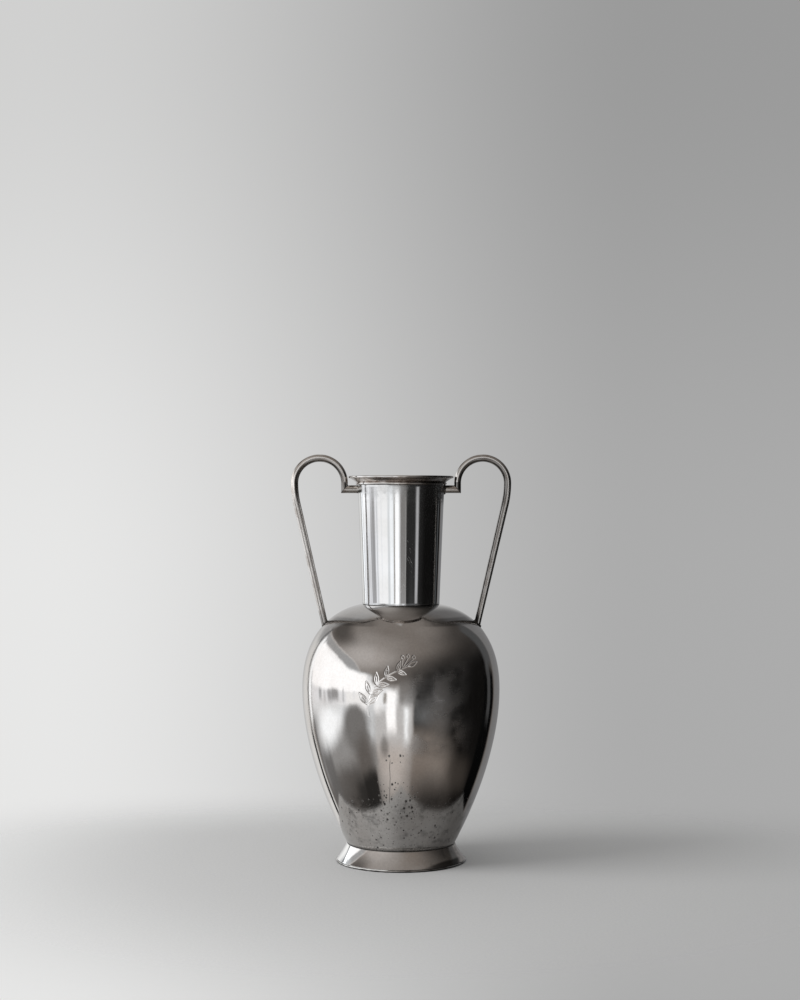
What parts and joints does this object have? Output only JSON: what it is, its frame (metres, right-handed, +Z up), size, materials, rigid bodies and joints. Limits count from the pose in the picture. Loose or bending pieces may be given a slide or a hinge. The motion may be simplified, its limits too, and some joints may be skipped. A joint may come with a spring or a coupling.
{
  "type": "amphora vase",
  "caption": "Footed metal amphora vase with a tapered neck, a turned lip and tall swan-neck handles running from lip to shoulder.",
  "frame": {"origin": "centre of the foot's ring on the surface that the vase stands on", "axes": "+Z up along the vase's axis, +X through the handle on the right of the picture, +Y away from the camera"},
  "size_m": [0.2176, 0.1946, 0.4],
  "materials": {
    "foot_rim": "polished metal wire, worn bright underneath",
    "foot": "polished sheet metal with a thin warm tarnish",
    "body": "polished sheet metal with warm grey tarnish and small dark corrosion pits",
    "neck": "bright mirror polish with fine scratches",
    "lip": "turned metal, brown tarnish in the hollows",
    "handles": "drawn metal bar, brown-grey tarnish, brighter where rubbed",
    "lugs": "drawn metal bar, dark tarnish at the solder joints"
  },
  "bodies": {
    "root": {"foot_rim": "foot_rim", "foot": "foot", "body": "body", "neck": "neck", "lip": "lip", "handle_left": "handles", "handle_right": "handles", "lug_left": "lugs", "lug_right": "lugs"}
  },
  "joints": []
}
